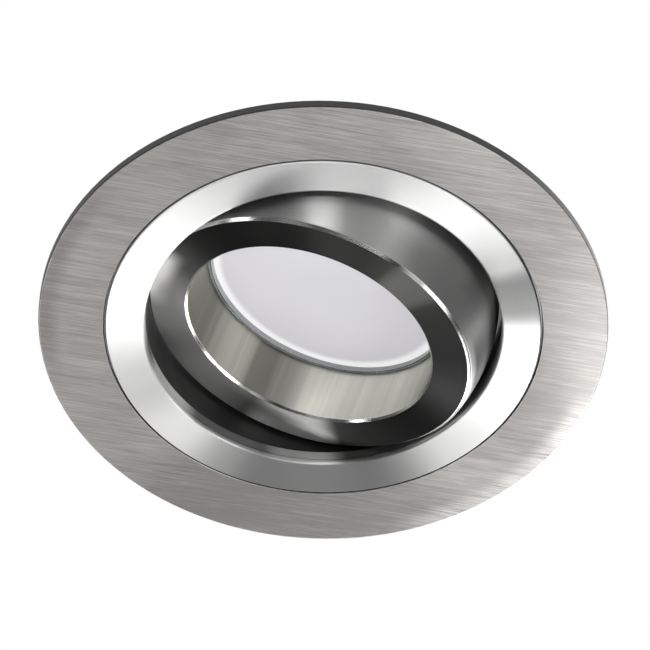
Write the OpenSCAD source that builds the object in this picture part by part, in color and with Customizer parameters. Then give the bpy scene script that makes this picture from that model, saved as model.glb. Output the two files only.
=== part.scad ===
// Recessed tilting downlight for a soffit: brushed trim, turned bezel, ball-shaped tilt ring,
// reflector lamp on a twist-lock lampholder, and two sprung clips that grip the ceiling board.
// Millimetres. The origin is the middle of the ceiling plane, +Z runs up into the ceiling void.

/* [Lamp] */
// Outer diameter of the lamp's front rim
lamp_d = 49.6; // [49:0.1:50.6]
// Thickness of the lamp's front rim
lamp_rim_t = 4; // [3.6:0.1:4.6]
// Length of the glass body, from the front of the rim to the cap
glass_len = 33.9; // [32:0.1:38]
// Outer diameter of the glass where it meets the cap
neck_d = 29.2; // [27:0.1:31]
// Wall of the glass body
glass_t = 1.3; // [1:0.1:1.6]
// Width of the clear glass rim round the frosted front disc
glass_rim_w = 3.05; // [2.6:0.05:3.4]
// How far the frosted disc lies behind the front of the rim
disc_inset = 1; // [0.6:0.1:1.4]
// Thickness of the frosted disc
disc_t = 1.5; // [1:0.1:1.8]
// Length of the lamp's cap, without its pins
cap_len = 13.5; // [12:0.1:16]
// Distance between the two lamp pins
pin_pitch = 10; // [9.6:0.1:10.4]
// Diameter of a lamp pin's shank
pin_d = 3; // [2.6:0.1:3.2]
// Diameter of a lamp pin's head
pin_head_d = 5; // [4.6:0.1:5.2]
// Thickness of a lamp pin's head
pin_head_t = 2.4; // [2:0.1:2.8]

/* [Tilt ring] */
// How far the tilt ring's bore laps over the lamp's rim
lip_w = 2.3; // [2:0.1:2.6]
// How far the lamp's front lies behind the tilt ring's face
lamp_setback = 11.4; // [10.6:0.1:11.8]
// Distance from the tilt axis to the ring's face
ring_front = 9.3; // [8.9:0.1:9.5]
// Distance from the tilt axis to the back edge of the ball-shaped wall
ring_back = 7; // [6:0.1:7.6]
// Wall of the ball-shaped shell
shell_t = 1.6; // [1.2:0.1:2]
// Width of the hollow between the shell and the lamp's seat
pocket_w = 1.87; // [1.6:0.01:2.4]
// Wall of the lamp's seat
cage_t = 2.5; // [2.2:0.1:2.8]
// Polished chamfer on both edges of the ring's face
ring_chamfer = 0.4; // [0.2:0.05:0.6]
// Angle that the ring is tilted by, as photographed
tilt_shown = 19.2; // [0:0.1:30]

/* [Bezel and trim] */
// Width of the bezel's turned face
bezel_w = 6.85; // [6:0.05:7.5]
// How far the bezel's outer edge stands proud of the trim
bezel_proud = 0.2; // [0.1:0.05:0.4]
// How far the bezel's face dips towards its bore
bezel_dish = 0.4; // [0.2:0.05:0.6]
// Wall of the bezel's sleeve
sleeve_t = 1.5; // [1.2:0.1:1.8]
// Width of the dark groove between bezel and trim
groove_w = 0.3; // [0.2:0.05:0.5]
// Width of the brushed trim
trim_w = 11.45; // [10:0.05:16]
// Height of the trim's rim, from the ceiling to its face
trim_h = 1.7; // [1.6:0.1:2.4]
// Thickness of the trim's sheet
sheet_t = 0.8; // [0.6:0.1:0.9]
// Thickness of the trim's turned-back rim
rim_t = 1; // [0.8:0.1:1.4]

/* [Housing] */
// Wall of the barrel
barrel_t = 2.1; // [1.8:0.1:2.4]
// Height of the barrel above the ceiling plane
barrel_h = 14; // [13.2:0.1:14.4]
// Height of the collar that fits the ceiling's cut-out
collar_h = 2; // [1.6:0.1:2.2]
// How far the flange reaches beyond the collar
flange_lap = 3.2; // [2.6:0.1:3.6]
// Diameter of the two tilt screws
screw_d = 3; // [2.6:0.1:3.2]
// Diameter of a tilt screw's head
screw_head_d = 5.5; // [5:0.1:6]
// Height of a tilt screw's head
screw_head_h = 1.8; // [1.5:0.1:2]
// Thickness of the friction washer under each head
washer_t = 0.4; // [0.3:0.05:0.6]

/* [Spring clips] */
// Direction of the clips, measured from the tilt axis
clip_azimuth = 45; // [35:1:55]
// Distance from the barrel to the clip's hinge pin
hinge_off = 3.5; // [3.4:0.1:4]
// Height of the hinge pin above the ceiling plane
hinge_z = 7; // [6.8:0.1:7.6]
// Diameter of the hinge pin
hinge_pin_d = 2.2; // [2:0.1:2.3]
// Width of a clip arm
arm_w = 8.4; // [8:0.1:9]
// Thickness of a clip arm's sheet
arm_t = 1; // [0.8:0.05:1.1]
// Length of a clip arm, from its pin to its toe
arm_len = 29; // [24:1:40]
// Wire of the clip's spring
spring_wire_d = 0.9; // [0.7:0.05:1]
// Turns of the clip's spring
spring_turns = 3; // [2:1:3]

/* [Lampholder] */
// Length of the lampholder, along the tilt axis
holder_l = 30; // [29:0.5:34]
// Width of the lampholder
holder_w = 24; // [23.5:0.1:26]
// Height of the lampholder's front half
holder_h = 10; // [9.6:0.1:12]
// Height of the lampholder's back half
holder_cap_h = 11; // [10:0.1:14]
// Turn that locks the lampholder on the lamp's pins
twist = 25; // [20:1:28]
// Diameter of each wire inlet
inlet_d = 3.2; // [2.8:0.1:3.6]

/* [Hidden] */
$fn = 96;
// Overrun of a cut past the face that it opens
cut = 0.5;

// Clearances
running_fit = 0.05;
press_gap = 0.02;
lamp_clear = 0.3;
ball_clear = 0.33;
seat_gap = 0.05;
face_gap = 0.2;
pin_slot_clear = 0.2;
pin_head_clear = 0.3;
// Width of the curved way between its round ends, as a share of theirs
way_share = 0.96;

// Tilt ring, in its own frame: the tilt axis is at 0 and the face is towards -Z
lamp_r = lamp_d / 2;
aperture_r = lamp_r - lip_w;
lamp_z = lamp_setback - ring_front;
shoulder_z = lamp_z - seat_gap;
seat_r = lamp_r + lamp_clear;
cage_r = seat_r + cage_t;
ball_r = cage_r + pocket_w + shell_t;
ring_face_r = sqrt(pow(ball_r, 2) - pow(ring_front, 2));
face_t = 1.8;
bore_wall = 1.7;
boss_r = 3.4;
cage_front = boss_r + 1;
boss_flat = 0.25;
circlip_wire_r = 0.8;
circlip_r = lamp_r + circlip_wire_r * 0.56;
circlip_knuckle_share = 1.15;
circlip_knuckle_r = circlip_wire_r * circlip_knuckle_share;
circlip_z = lamp_z + lamp_rim_t + circlip_knuckle_r + press_gap;
circlip_gap_angle = 26;
circlip_tab_h = 3.4;
circlip_bend_r = 1.6;
circlip_step = 0.1;
circlip_notch_w = 2 * (circlip_r * sin(circlip_gap_angle / 2) + circlip_wire_r);
cage_back = circlip_z + circlip_wire_r * 2.1;

// Bezel, trim and housing
pivot_z = ring_front - trim_h;
face_z = -trim_h;
sheet_z = face_z + sheet_t;
bezel_bore_r = ball_r + ball_clear;
bezel_r = bezel_bore_r + bezel_w;
sleeve_r = bezel_bore_r + sleeve_t;
bezel_front_z = face_z - bezel_proud;
bezel_inner_z = bezel_front_z + bezel_dish;
bezel_edge_r = 0.45;
bezel_bevel = 0.15;
root_lap = 0.5;
sleeve_end_z = collar_h - root_lap - 2 * press_gap;
line_depth = 0.2;
line_w = 0.25;
line_at = 0.45;
trim_bore_r = bezel_r + groove_w;
trim_r = trim_bore_r + trim_w;
trim_edge_r = 0.25;
trim_lip = 0.15;
barrel_r = bezel_bore_r + barrel_t;
casting_bevel = 0.3;
screw_r = screw_d / 2;
screw_head_r = screw_head_d / 2;
pad_r = screw_head_r + 1.05;
pad_x = barrel_r + 0.9;
washer_r = screw_head_r + 0.3;
washer_x = pad_x + press_gap;
screw_head_x = washer_x + washer_t + press_gap;
screw_len = 8.4;
recess_w = 0.9;
recess_l = 2.8;
recess_depth = 0.9;
rib_t = 1.6;
rib_h = 8;
rib_angles = [112.5, 157.5, 292.5, 337.5];

// Clips, in a frame whose X axis runs outwards through the clip
hinge_x = barrel_r + hinge_off;
hinge_pin_r = hinge_pin_d / 2;
ear_r = 2;
ear_t = 1.6;
arm_side_gap = 0.3;
ear_inner_y = arm_w / 2 + arm_side_gap;
ear_outer_y = ear_inner_y + ear_t;
rivet_head_r = 1.8;
rivet_head_t = 0.7;
collar_clear = 0.12;
collar_r = norm([hinge_x + ear_r, ear_outer_y]) + collar_clear;
flange_r = collar_r + flange_lap;
gasket_gap = 0.3;
spring_r = hinge_pin_r + spring_wire_d / 2 + 0.2;
spring_w = 4.8;
web_rise = 0.6;
web_from = 3.3;
web_flat = 9;
cheek_drop = 1.2;
eye_r = 2;
stop_drop = 1.8;
// Heights of the arm along its length, as shares of its reach and of the rise of its web
arm_shares = [[0.55, 0.8], [0.83, 0.1], [1, 0.65]];
toe_w = 6;
toe_lap = 0.3;
pad_t = 0.6;
pad_from_share = 0.86;

// Lamp, in the tilt ring's frame
disc_z = lamp_z + disc_inset;
disc_r = lamp_r - glass_rim_w;
disc_clear = 0.05;
disc_ledge = 0.8;
rim_step = 0.9;
neck_r = neck_d / 2;
glass_end_z = lamp_z + glass_len;
bowl_power_share = 1.8;
bowl_steps = 10;
sink_clear = 0.2;
sink_t = 1.2;
board_t = 1.6;
board_gap = 0.8;
board_z = disc_z + disc_t + board_gap;
chip_l = 3.5;
chip_w = 2.8;
chip_t = 0.6;
chips = 12;
chip_circle_share = 0.62;
spigot_t = 1.4;
spigot_len = 3;
cap_floor = 2.5;
cap_bevel = 4;
cap_end_z = glass_end_z + cap_len;
pin_r = pin_d / 2;
pin_head_r = pin_head_d / 2;
pin_x = pin_pitch / 2;
pin_flange_t = 1;
driver_t = 1.2;
driver_w = 17;
driver_h = 12;
capacitor_r = 3.2;
capacitor_h = 8;
coil_r = 2.6;
coil_h = 5;

// Lampholder, in the tilt ring's frame
holder_z = cap_end_z + face_gap;
lip_t = 3.6;
pin_neck = face_gap + lip_t + 0.15;
head_z = cap_end_z + pin_neck;
head_end_z = head_z + pin_head_t;
holder_joint_z = holder_z + holder_h;
holder_end_z = holder_joint_z + holder_cap_h;
holder_r = holder_l / 2;
slot_r = pin_r + pin_slot_clear;
well_r = pin_head_r + pin_head_clear;
holder_wall = 1.8;
holder_floor = 2;
holder_bevel = 1.2;
post_r = 2.9;
post_y = holder_w / 2 - post_r - 0.5;
holder_screw_r = 1.25;
holder_screw_head_r = 2.4;
holder_screw_head_t = 1.6;
holder_screw_from = 3;
leaf_t = 0.5;
leaf_w = 3.2;
leaf_gap = 0.3;
terminal_l = 5;
terminal_w = 6;
terminal_h = 6.4;
riser_t = 1.6;
wire_hole_r = 1.1;

// Earth terminal
earth_azimuth = 135;
earth_x = barrel_r + 2.8;
earth_boss_r = 3;
earth_boss_h = 3;
earth_screw_r = 1.5;
earth_head_r = 2.6;
earth_head_h = 1.9;
earth_depth = 4;
tag_t = 0.8;
tag_w = 4.4;
tag_h = 9;

function arc_points(x, y, r, from, to, steps = 4) =
    [for (i = [0:steps]) let (a = from + (to - from) * i / steps) [x + r * cos(a), y + r * sin(a)]];

// Places what is made in the tilt ring's frame at the photographed tilt
module tilted() {
    translate([0, 0, pivot_z])
        rotate([tilt_shown, 0, 0])
            children();
}

// Turns a clip, made along +X, to its side: right is +1 and left is -1
module clip_side(side) {
    rotate([0, 0, side > 0 ? clip_azimuth : clip_azimuth + 180])
        children();
}

// A cylinder along Y between two places, for pins and eyes
module y_cylinder(r, y0, y1) {
    translate([0, y0, 0])
        rotate([-90, 0, 0])
            cylinder(r = r, h = y1 - y0);
}

// A tube about Z between two heights
module tube(r_out, r_in, z0, z1) {
    translate([0, 0, z0])
        difference() {
            cylinder(r = r_out, h = z1 - z0);
            translate([0, 0, -cut])
                cylinder(r = r_in, h = z1 - z0 + 2 * cut);
        }
}

// Pressed sheet face with a turned-back rim
module trim_plate() {
    color("silver")
        rotate_extrude()
            polygon(concat(
                [[trim_bore_r, face_z + trim_lip], [trim_bore_r + trim_lip, face_z]],
                arc_points(trim_r - trim_edge_r, face_z + trim_edge_r, trim_edge_r, -90, 0),
                [[trim_r, 0], [trim_r - rim_t, 0], [trim_r - rim_t, sheet_z], [trim_bore_r, sheet_z]]
            ));
}

// Foam seal in the hollow behind the trim, flush with the ceiling plane
module gasket() {
    color("dimgray")
        tube(trim_r - rim_t - gasket_gap, flange_r + gasket_gap, sheet_z, 0);
}

// Turned ring: a dished face, a rounded inner edge, a fine line in the bore and a sleeve
module bezel_ring() {
    line_z = bezel_inner_z + bezel_edge_r + line_at;
    color("gainsboro")
        rotate_extrude()
            polygon(concat(
                [[bezel_r, sheet_z], [bezel_r, bezel_front_z + bezel_bevel], [bezel_r - bezel_bevel, bezel_front_z]],
                arc_points(bezel_bore_r + bezel_edge_r, bezel_inner_z + bezel_edge_r, bezel_edge_r, -90, -180),
                [
                    [bezel_bore_r, line_z],
                    [bezel_bore_r + line_depth, line_z],
                    [bezel_bore_r + line_depth, line_z + line_w],
                    [bezel_bore_r, line_z + line_w],
                    [bezel_bore_r, sleeve_end_z],
                    [sleeve_r, sleeve_end_z],
                    [sleeve_r, sheet_z]
                ]
            ));
}

// One cast ear of a clip's hinge
module hinge_ear() {
    translate([hinge_x, 0, hinge_z])
        y_cylinder(ear_r, ear_inner_y, ear_outer_y);
    translate([barrel_r - barrel_t / 2, ear_inner_y, collar_h - root_lap])
        cube([hinge_x + ear_r - barrel_r + barrel_t / 2, ear_t, hinge_z - collar_h + root_lap]);
    translate([barrel_r - barrel_t / 2, ear_inner_y, hinge_z - ear_r])
        cube([hinge_off + barrel_t / 2, ear_t, 2 * ear_r]);
}

// Thin cast rib between the collar and the barrel
module rib() {
    rotate([90, 0, 0])
        translate([0, 0, -rib_t / 2])
            linear_extrude(height = rib_t)
                polygon([
                    [barrel_r - barrel_t / 2, collar_h - root_lap],
                    [collar_r - casting_bevel - rib_t, collar_h - root_lap],
                    [collar_r - casting_bevel - rib_t, collar_h],
                    [barrel_r, collar_h + rib_h],
                    [barrel_r - barrel_t / 2, collar_h + rib_h]
                ]);
}

// Die-cast body: flange, cut-out collar, barrel, tilt bosses, hinge ears and earth boss
module housing_casting() {
    color("lightgray")
        difference() {
            union() {
                rotate_extrude()
                    polygon([
                        [sleeve_r + seat_gap, sheet_z],
                        [flange_r, sheet_z],
                        [flange_r, 0],
                        [collar_r, 0],
                        [collar_r, collar_h - casting_bevel],
                        [collar_r - casting_bevel, collar_h],
                        [barrel_r, collar_h],
                        [barrel_r, barrel_h - casting_bevel],
                        [barrel_r - casting_bevel, barrel_h],
                        [bezel_bore_r, barrel_h],
                        [bezel_bore_r, sleeve_end_z + press_gap],
                        [sleeve_r + seat_gap, sleeve_end_z + press_gap]
                    ]);
                for (side = [-1, 1])
                    translate([side * pad_x, 0, pivot_z])
                        rotate([0, -side * 90, 0])
                            cylinder(r = pad_r, h = pad_x - barrel_r + barrel_t / 2);
                for (side = [-1, 1])
                    clip_side(side) {
                        hinge_ear();
                        mirror([0, 1, 0])
                            hinge_ear();
                    }
                for (a = rib_angles)
                    rotate([0, 0, a])
                        rib();
                rotate([0, 0, earth_azimuth])
                    translate([earth_x, 0, 0])
                        cylinder(r = earth_boss_r, h = collar_h + earth_boss_h);
            }
            translate([-pad_x - cut, 0, pivot_z])
                rotate([0, 90, 0])
                    cylinder(r = screw_r + running_fit, h = 2 * (pad_x + cut));
            for (side = [-1, 1])
                clip_side(side)
                    translate([hinge_x, 0, hinge_z])
                        y_cylinder(hinge_pin_r + press_gap, -ear_outer_y - cut, ear_outer_y + cut);
            rotate([0, 0, earth_azimuth])
                translate([earth_x, 0, collar_h + earth_boss_h - earth_depth])
                    cylinder(r = earth_screw_r + press_gap, h = earth_depth + cut);
        }
}

// Brass spade for the earth lead
module earth_tag() {
    tag_z = collar_h + earth_boss_h;
    color("goldenrod")
        rotate([0, 0, earth_azimuth])
            translate([earth_x, 0, tag_z])
                difference() {
                    union() {
                        cylinder(r = earth_head_r, h = tag_t);
                        translate([-tag_w / 2, 0, 0])
                            cube([tag_w, earth_head_r + tag_t, tag_t]);
                        translate([-tag_w / 2, earth_head_r, 0])
                            cube([tag_w, tag_t, tag_h]);
                    }
                    translate([0, 0, -cut])
                        cylinder(r = earth_screw_r + running_fit, h = tag_t + 2 * cut);
                    translate([0, earth_head_r - cut, tag_h * 0.7])
                        rotate([-90, 0, 0])
                            cylinder(r = tag_t, h = tag_t + 2 * cut);
                }
}

// A pan-head screw along +Z, its head's underside at 0 and its shank below
module pan_screw(shank_r, shank_l, head_r, head_h) {
    difference() {
        union() {
            translate([0, 0, -shank_l])
                cylinder(r = shank_r, h = shank_l);
            cylinder(r = head_r, h = head_h / 2);
            translate([0, 0, head_h / 2])
                cylinder(r1 = head_r, r2 = head_r * 0.72, h = head_h / 2);
        }
        for (turn = [0, 90])
            rotate([0, 0, turn])
                translate([-recess_l / 2, -recess_w / 2, head_h - recess_depth])
                    cube([recess_l, recess_w, recess_depth + cut]);
    }
}

module earth_screw() {
    head_under_z = collar_h + earth_boss_h + tag_t + press_gap;
    color("goldenrod")
        rotate([0, 0, earth_azimuth])
            translate([earth_x, 0, head_under_z])
                pan_screw(earth_screw_r, earth_depth + tag_t - recess_depth / 2, earth_head_r, earth_head_h);
}

// Headed pin that carries a clip arm and its spring
module clip_pin(side) {
    color("gray")
        clip_side(side)
            translate([hinge_x, 0, hinge_z]) {
                y_cylinder(hinge_pin_r, -ear_outer_y - rivet_head_t, ear_outer_y + rivet_head_t);
                y_cylinder(rivet_head_r, ear_outer_y + press_gap, ear_outer_y + press_gap + rivet_head_t);
                y_cylinder(rivet_head_r, -ear_outer_y - press_gap - rivet_head_t, -ear_outer_y - press_gap);
            }
}

// Spring wire as one swept tube: a leg on the collar, the turns about the pin, a leg over the arm
spring_rings = 8;
spring_sides = 6;
spring_sweep = 360 * spring_turns + 90;
spring_count = ceil(spring_sweep / 360 * spring_rings);
spring_wire_r = spring_wire_d / 2;
spring_coil = [for (i = [0:spring_count])
    let (a = 180 - spring_sweep * i / spring_count)
    [spring_r * cos(a), spring_w * (i / spring_count - 0.5), spring_r * sin(a)]];
spring_over_z = web_rise + arm_t + spring_wire_r + seat_gap;
spring_path = concat(
    [[spring_wire_d - hinge_off, -spring_w / 2, collar_h + spring_wire_r + seat_gap - hinge_z]],
    spring_coil,
    [[web_from, spring_w / 2, spring_over_z]],
    [[web_flat - spring_wire_d, spring_w / 2, spring_over_z]]
);
spring_gaps = [
    for (i = [0:len(spring_coil) - 1])
        for (j = [i + spring_rings - 2:1:len(spring_coil) - 1])
            norm(spring_coil[i] - spring_coil[j]) - spring_wire_d
];
echo(clip_spring_least_gap_to_itself = min(spring_gaps));

function unit(v) = v / norm(v);
function path_direction(p, i) =
    unit((i < len(p) - 1 ? unit(p[i + 1] - p[i]) : [0, 0, 0]) + (i > 0 ? unit(p[i] - p[i - 1]) : [0, 0, 0]));

// A closed tube of a few flat sides along a path that never runs along Y
module swept_tube(path, r, sides) {
    rings = [
        for (i = [0:len(path) - 1])
            let (
                t = path_direction(path, i),
                across = unit(cross([0, 1, 0], t)),
                up = cross(t, across)
            )
            for (s = [0:sides - 1])
                path[i] + r * (across * cos(360 * s / sides) + up * sin(360 * s / sides))
    ];
    last = (len(path) - 1) * sides;
    faces = concat(
        [for (i = [0:len(path) - 2]) for (s = [0:sides - 1])
            [i * sides + s, i * sides + (s + 1) % sides, (i + 1) * sides + s]],
        [for (i = [0:len(path) - 2]) for (s = [0:sides - 1])
            [i * sides + (s + 1) % sides, (i + 1) * sides + (s + 1) % sides, (i + 1) * sides + s]],
        [for (s = [1:sides - 2]) [0, s + 1, s]],
        [for (s = [1:sides - 2]) [last, last + s, last + s + 1]]
    );
    polyhedron(points = rings, faces = faces);
}

module clip_spring(side) {
    color("darkgray")
        clip_side(side)
            translate([hinge_x, 0, hinge_z])
                swept_tube(spring_path, spring_wire_r, spring_sides);
}

// Side of a bent strip: its points moved by half the thickness, mitred at each bend
function normal_of(p, i) =
    let (run = p[min(i + 1, len(p) - 1)] - p[min(i, len(p) - 2)]) [-run[1], run[0]] / norm(run);
function strip_side(p, half) =
    [for (i = [0:len(p) - 1])
        let (before = normal_of(p, max(i - 1, 0)), after = normal_of(p, i), mitre = unit(before + after))
        p[i] + mitre * half / (mitre * after)];

// A bent strip of sheet, centred on Y, along points in the X-Z plane
module strip(points, thickness, w) {
    lower = strip_side(points, -thickness / 2);
    rotate([90, 0, 0])
        translate([0, 0, -w / 2])
            linear_extrude(height = w)
                polygon(concat(
                    strip_side(points, thickness / 2),
                    [for (i = [len(lower) - 1:-1:0]) lower[i]]
                ));
}

arm_web_z = web_rise + arm_t / 2;
arm_points = concat(
    [[web_from, arm_web_z], [web_flat, arm_web_z]],
    [for (s = arm_shares) [arm_len * s[0], arm_web_z * s[1] - arm_t * (1 - s[1])]]
);
arm_last = len(arm_points) - 1;

// Side flange of a clip arm: the eye on the pin, the cheek below the web and the tail that is the stop
module arm_cheek(tail) {
    y0 = arm_w / 2 - arm_t;
    stop_x = sqrt(pow(barrel_r, 2) - pow(y0, 2)) + seat_gap - hinge_x;
    difference() {
        union() {
            y_cylinder(eye_r, y0, arm_w / 2);
            translate([0, y0, -cheek_drop])
                cube([web_flat, arm_t, cheek_drop + web_rise + arm_t]);
            if (tail)
                translate([stop_x, y0, -stop_drop])
                    cube([-stop_x, arm_t, stop_drop]);
        }
        y_cylinder(hinge_pin_r + running_fit, y0 - cut, arm_w / 2 + cut);
    }
}

// Stamped steel lever that presses the ceiling board against the flange
module clip_arm(side) {
    toe = arm_points[arm_last];
    heel = arm_points[arm_last - 1];
    color("silver")
        clip_side(side)
            translate([hinge_x, 0, hinge_z]) {
                arm_cheek(true);
                mirror([0, 1, 0])
                    arm_cheek(false);
                strip([for (i = [0:arm_last - 1]) arm_points[i]], arm_t, arm_w);
                strip([heel - unit(toe - heel) * toe_lap, toe], arm_t, toe_w);
            }
}

// Soft sleeve pushed onto the toe of a clip arm
module clip_pad(side) {
    toe = arm_points[arm_last];
    heel = arm_points[arm_last - 1];
    run = toe - heel;
    from = norm(run) * (pad_from_share - arm_shares[1][0]) / (1 - arm_shares[1][0]);
    color("dimgray")
        clip_side(side)
            translate([hinge_x + heel[0], 0, hinge_z + heel[1]])
                rotate([0, -atan2(run[1], run[0]), 0])
                    difference() {
                        translate([from, -toe_w / 2 - pad_t, -arm_t / 2 - pad_t])
                            cube([norm(run) - from + pad_t, toe_w + 2 * pad_t, arm_t + 2 * pad_t]);
                        translate([from - cut, -toe_w / 2 - press_gap, -arm_t / 2 - press_gap])
                            cube([norm(run) - from + cut + press_gap, toe_w + 2 * press_gap, arm_t + 2 * press_gap]);
                    }
}

// Half section of the tilt ring: ball-shaped shell, face, bore wall and lamp seat with its groove
module gimbal_section() {
    difference() {
        intersection() {
            circle(r = ball_r);
            union() {
                difference() {
                    translate([0, -ring_front])
                        square([2 * ball_r, ring_front + ring_back]);
                    circle(r = ball_r - shell_t);
                }
                translate([aperture_r, -ring_front])
                    square([ball_r, face_t]);
                translate([aperture_r, -ring_front])
                    square([bore_wall, ring_front]);
                translate([aperture_r, -cage_front])
                    square([cage_r - aperture_r, cage_front + cage_back]);
            }
        }
        translate([0, shoulder_z])
            square([seat_r, ball_r]);
        translate([0, circlip_z - circlip_knuckle_r - press_gap])
            square([circlip_r + circlip_knuckle_r + press_gap, 2 * (circlip_knuckle_r + press_gap)]);
        polygon([
            [ring_face_r - ring_chamfer - cut, -ring_front - cut],
            [ball_r, -ring_front - cut],
            [ball_r, -ring_front + ball_r - ring_face_r + ring_chamfer]
        ]);
        polygon([
            [aperture_r - cut, -ring_front - cut],
            [aperture_r + ring_chamfer + cut, -ring_front - cut],
            [aperture_r - cut, -ring_front + ring_chamfer + cut]
        ]);
    }
}

// Ball-shaped tilt ring: a threaded boss on each end of the tilt axis, a notch for the circlip's tabs
module gimbal_ring() {
    color("lightslategray")
        tilted()
            difference() {
                union() {
                    rotate_extrude()
                        gimbal_section();
                    for (side = [-1, 1])
                        rotate([0, side * 90, 0])
                            translate([0, 0, cage_r - cage_t / 2])
                                cylinder(r = boss_r, h = ball_r - boss_flat - cage_r + cage_t / 2);
                }
                for (side = [-1, 1])
                    rotate([0, side * 90, 0])
                        translate([0, 0, screw_head_x - screw_len - cut])
                            cylinder(r = screw_r + press_gap, h = screw_len + cut);
                translate([-circlip_notch_w / 2, -cage_r - cut, circlip_z])
                    cube([circlip_notch_w, cage_r - aperture_r + cut, cage_back - circlip_z + cut]);
            }
}

// Screw through the housing into the tilt ring: right is +1 and left is -1
module pivot_screw(side) {
    color("gray")
        tilted()
            rotate([0, side * 90, 0])
                translate([0, 0, screw_head_x])
                    pan_screw(screw_r, screw_len, screw_head_r, screw_head_h);
}

module pivot_washer(side) {
    color("dimgray")
        tilted()
            rotate([0, side * 90, 0])
                tube(washer_r, screw_r + running_fit, washer_x, washer_x + washer_t);
}

// Bent-up end of the circlip's wire, a swaged knuckle, an elbow and a finger tab: towards +Y or -Y
module circlip_ear(way) {
    translate([circlip_r, 0, 0])
        sphere(r = circlip_knuckle_r);
    translate([circlip_r, way * circlip_step, circlip_bend_r])
        rotate([way > 0 ? 0 : 180, 90, 0])
            rotate_extrude(angle = 90)
                translate([circlip_bend_r, 0])
                    circle(r = circlip_wire_r, $fn = 24);
    translate([circlip_r, way * (circlip_step + circlip_bend_r), circlip_bend_r])
        cylinder(r = circlip_wire_r, h = circlip_tab_h, $fn = 24);
}

// Open wire ring that snaps in behind the lamp, with two finger tabs
module lamp_circlip() {
    color("silver")
        tilted()
            translate([0, 0, circlip_z])
                rotate([0, 0, circlip_gap_angle / 2 - 90]) {
                    rotate_extrude(angle = 360 - circlip_gap_angle)
                        translate([circlip_r, 0])
                            circle(r = circlip_wire_r, $fn = 24);
                    circlip_ear(-1);
                    rotate([0, 0, -circlip_gap_angle])
                        circlip_ear(1);
                }
}

// Outer radius of the glass bowl at a share of its length
function bowl_r(share) = neck_r + (lamp_r - rim_step - neck_r) * (1 - pow(share, bowl_power_share));
bowl_z0 = lamp_z + lamp_rim_t;
function bowl_points(inset, from, to) =
    [for (i = [0:bowl_steps])
        let (s = from + (to - from) * i / bowl_steps)
        [bowl_r(s) - inset, bowl_z0 + (glass_end_z - bowl_z0) * s]];

// Pressed glass body of the lamp, open at its neck
module lamp_glass() {
    ledge_z = disc_z + disc_t;
    color("lightsteelblue", 0.5)
        tilted()
            rotate_extrude()
                polygon(concat(
                    [[disc_r + disc_clear, lamp_z], [lamp_r, lamp_z], [lamp_r, bowl_z0]],
                    bowl_points(0, 0, 1),
                    bowl_points(glass_t, 1, 0),
                    [[disc_r - disc_ledge, bowl_z0], [disc_r - disc_ledge, ledge_z], [disc_r + disc_clear, ledge_z]]
                ));
}

module lamp_diffuser() {
    color("white")
        tilted()
            translate([0, 0, disc_z])
                cylinder(r = disc_r, h = disc_t - press_gap);
}

board_r = disc_r - disc_ledge - disc_clear;

// Round aluminium-backed circuit board, light side towards the disc
module led_board() {
    color("whitesmoke")
        tilted()
            translate([0, 0, board_z])
                cylinder(r = board_r, h = board_t);
}

module led_chips() {
    color("khaki")
        tilted()
            for (i = [0:chips - 1])
                rotate([0, 0, 360 * i / chips])
                    translate([board_r * chip_circle_share, 0, board_z - chip_t])
                        translate([-chip_w / 2, -chip_l / 2, 0])
                            cube([chip_w, chip_l, chip_t]);
}

// Aluminium cup that lines the glass and carries the board
module lamp_heatsink() {
    inset = glass_t + sink_clear;
    from = (board_z + board_t - bowl_z0) / (glass_end_z - bowl_z0);
    to = 0.86;
    top = bowl_points(inset + sink_t, from, to);
    color("silver")
        tilted()
            rotate_extrude()
                polygon(concat(
                    [[board_r - sink_t * 2, board_z + board_t + press_gap]],
                    [for (p = bowl_points(inset, from, to)) [min(p[0], board_r), p[1] + press_gap]],
                    [for (i = [bowl_steps:-1:1]) [min(top[i][0], board_r - sink_t), top[i][1] + press_gap]],
                    [[board_r - sink_t * 2, board_z + board_t + sink_t]]
                ));
}

// Driver board with its capacitor and choke, standing in the lamp's cap
module lamp_driver() {
    z0 = cap_end_z - cap_floor - pin_flange_t - 2 * press_gap - driver_h;
    color("seagreen")
        tilted()
            translate([0, 0, z0]) {
                translate([-driver_w / 2, -driver_t / 2, 0])
                    cube([driver_w, driver_t, driver_h]);
                translate([-driver_w / 4, driver_t / 4 + capacitor_r, driver_h - capacitor_h])
                    cylinder(r = capacitor_r, h = capacitor_h);
                translate([driver_w / 4, driver_t / 4 + coil_r, driver_h - coil_h])
                    cylinder(r = coil_r, h = coil_h);
            }
}

// Moulded cap of the lamp: spigot in the glass, hollow body and bevelled end with the pins' holes
module lamp_cap() {
    spigot_r = neck_r - glass_t - sink_clear;
    color("whitesmoke")
        tilted()
            difference() {
                union() {
                    translate([0, 0, glass_end_z - spigot_len])
                        cylinder(r = spigot_r, h = spigot_len + cut);
                    translate([0, 0, glass_end_z + press_gap])
                        cylinder(r = neck_r, h = cap_len - cap_bevel);
                    translate([0, 0, cap_end_z - cap_bevel])
                        cylinder(r1 = neck_r, r2 = neck_r - cap_bevel, h = cap_bevel);
                }
                translate([0, 0, glass_end_z - spigot_len - cut])
                    cylinder(r = spigot_r - spigot_t, h = spigot_len + cap_len - cap_floor - cap_bevel / 2 + cut);
                translate([0, 0, cap_end_z - cap_floor - cap_bevel / 2 - press_gap])
                    cylinder(r1 = spigot_r - spigot_t, r2 = spigot_r - spigot_t - cap_bevel / 2, h = cap_bevel / 2);
                for (side = [-1, 1])
                    translate([side * pin_x, 0, cap_end_z - cap_floor - cut])
                        cylinder(r = pin_r + press_gap, h = cap_floor + 2 * cut);
            }
}

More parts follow.
